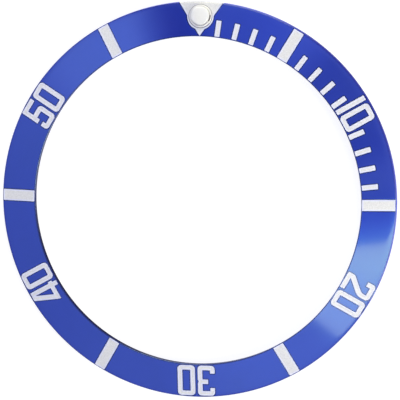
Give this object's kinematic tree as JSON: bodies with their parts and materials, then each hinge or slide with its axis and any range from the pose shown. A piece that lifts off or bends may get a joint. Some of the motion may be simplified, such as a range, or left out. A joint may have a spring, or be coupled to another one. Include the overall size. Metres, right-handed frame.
{
  "type": "watch bezel insert",
  "caption": "Thin sloping ring for the turning bezel of a diver's watch, with a minute scale let into its face and a raised luminous pearl in a metal cup.",
  "frame": {"origin": "on the ring's axis, in the plane of the flat seat that it stands on", "axes": "+Z along the ring's axis, out of the dial side; +Y to the pearl at 12 o'clock; +X to 3 o'clock"},
  "size_m": [0.038, 0.038, 0.0017],
  "materials": {
    "anodised_blue": "blue anodised, glossy, finely turned",
    "mark_silver": "pale silver, satin",
    "polished_steel": "polished",
    "lume_paste": "matt, grainy",
    "milky_lens": "milky white, smooth"
  },
  "bodies": {
    "root": {"insert_ring": "anodised_blue", "pearl_field": "mark_silver", "numeral_10": "mark_silver", "numeral_20": "mark_silver", "numeral_30": "mark_silver", "numeral_40": "mark_silver", "numeral_50": "mark_silver", "bar_05": "mark_silver", "bar_15": "mark_silver", "bar_25": "mark_silver", "bar_35": "mark_silver", "bar_45": "mark_silver", "bar_55": "mark_silver", "tick_01": "mark_silver", "tick_02": "mark_silver", "tick_03": "mark_silver", "tick_04": "mark_silver", "tick_06": "mark_silver", "tick_07": "mark_silver", "tick_08": "mark_silver", "tick_09": "mark_silver", "tick_11": "mark_silver", "tick_12": "mark_silver", "tick_13": "mark_silver", "tick_14": "mark_silver", "pearl_cup": "polished_steel", "pearl_lume": "lume_paste", "pearl_dome": "milky_lens"}
  },
  "joints": []
}
